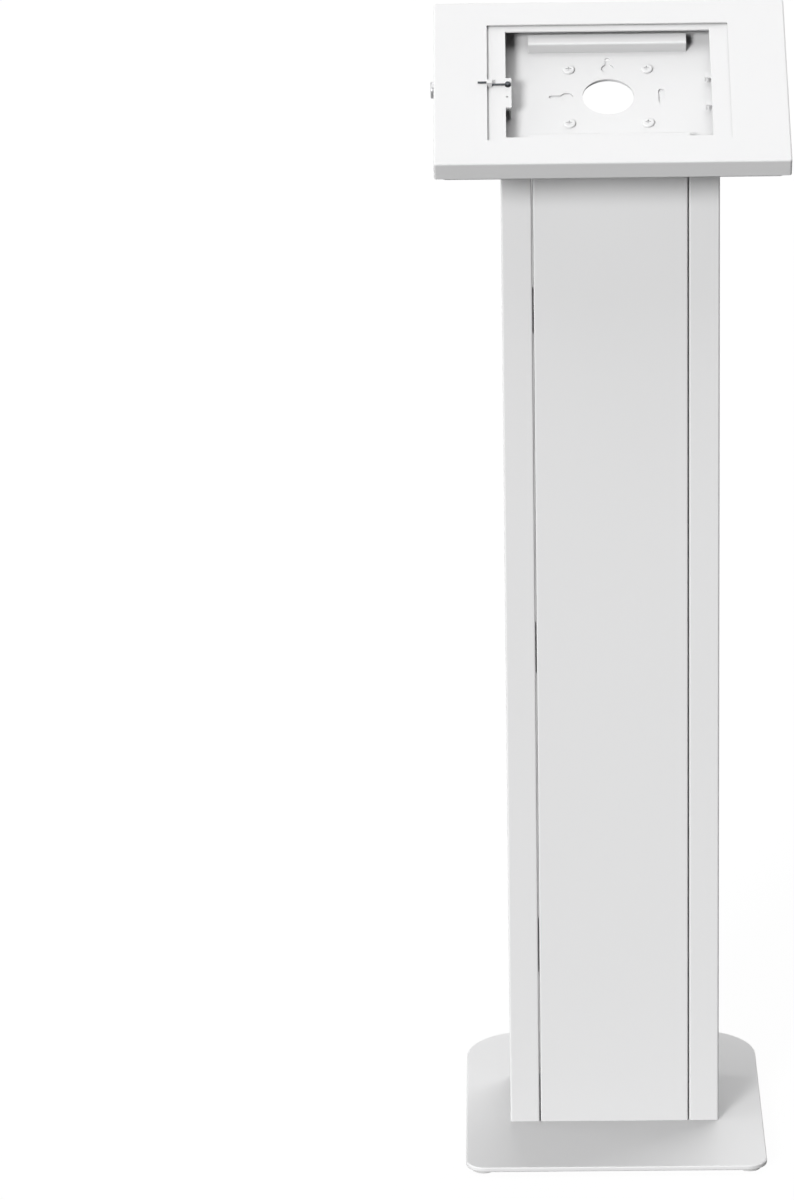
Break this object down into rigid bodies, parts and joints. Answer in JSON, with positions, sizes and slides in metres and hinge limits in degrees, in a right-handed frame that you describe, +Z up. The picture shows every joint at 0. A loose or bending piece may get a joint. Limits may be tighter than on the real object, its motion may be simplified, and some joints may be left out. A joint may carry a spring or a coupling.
{
  "type": "tablet floor stand",
  "caption": "Free-standing kiosk stand for a tablet: flat base plate, hollow rectangular column and a sloped, lockable casing with a hinged window cover.",
  "frame": {"origin": "on the floor under the middle of the stand's footprint box", "axes": "+Z up, +X to the right of a user who faces the display, +Y away from that user"},
  "size_m": [0.3407, 0.3765, 1.1595],
  "materials": {
    "white_steel": "fine-textured white powder coat",
    "pale_rubber": "matt",
    "zinc_steel": "bright zinc plate",
    "dark_steel": "dark blued",
    "lock_chrome": "polished",
    "dark_foam": "closed-cell foam",
    "black_rubber": "matt",
    "white_plastic": "matt"
  },
  "bodies": {
    "stand": {"base_plate": "white_steel", "column_right_profile": "white_steel", "column_left_profile": "white_steel", "column_front_panel": "white_steel", "column_rear_panel": "white_steel", "lower_brace": "white_steel", "middle_brace": "white_steel", "upper_brace": "white_steel", "column_foot_plate": "white_steel", "column_top_plate": "white_steel", "head_bracket": "white_steel", "casing_tray": "white_steel", "upper_rail": "white_steel", "lower_rail": "white_steel", "left_support": "white_steel", "right_support": "white_steel", "lock_strike": "white_steel", "mounting_screws": "white_steel", "foot_front_left": "pale_rubber", "foot_front_right": "pale_rubber", "foot_rear_left": "pale_rubber", "foot_rear_right": "pale_rubber", "foot_screws": "zinc_steel", "base_bolts": "zinc_steel", "base_nuts": "zinc_steel", "front_panel_nuts": "zinc_steel", "rear_panel_nuts": "zinc_steel", "rear_panel_screws": "zinc_steel", "bracket_bolts": "zinc_steel", "bracket_nuts": "zinc_steel", "rail_rivets": "zinc_steel", "support_rivets": "zinc_steel", "strike_rivet": "zinc_steel", "mounting_nuts": "zinc_steel", "lower_hinge_pin": "zinc_steel", "upper_hinge_pin": "zinc_steel", "cable_grommet": "black_rubber"},
    "cover": {"casing_cover": "white_steel", "bezel_insert": "white_steel", "bezel_gasket": "dark_foam", "bezel_nuts": "zinc_steel", "bezel_clip": "dark_steel", "bezel_clip_saddle": "white_plastic", "bezel_clip_screw": "dark_steel", "tablet_stop_left": "dark_foam", "tablet_stop_right": "dark_foam", "tablet_stop_top": "dark_foam", "tablet_stop_bottom": "dark_foam", "lock_barrel": "lock_chrome", "lock_nut": "zinc_steel"},
    "lock": {"lock_plug": "lock_chrome", "lock_cam": "zinc_steel", "lock_cam_screw": "zinc_steel"}
  },
  "joints": [
    {"name": "cover_hinge", "type": "hinge", "parent": "stand", "child": "cover", "pos_m": [0.167, -0.0804, 1.08502], "axis": [0, 0.866, 0.5], "range_deg": [0, 110]},
    {"name": "lock_turn", "type": "hinge", "parent": "cover", "child": "lock", "pos_m": [-0.16875, -0.08643, 1.09546], "axis": [1, 0, 0], "range_deg": [0, 90]}
  ]
}
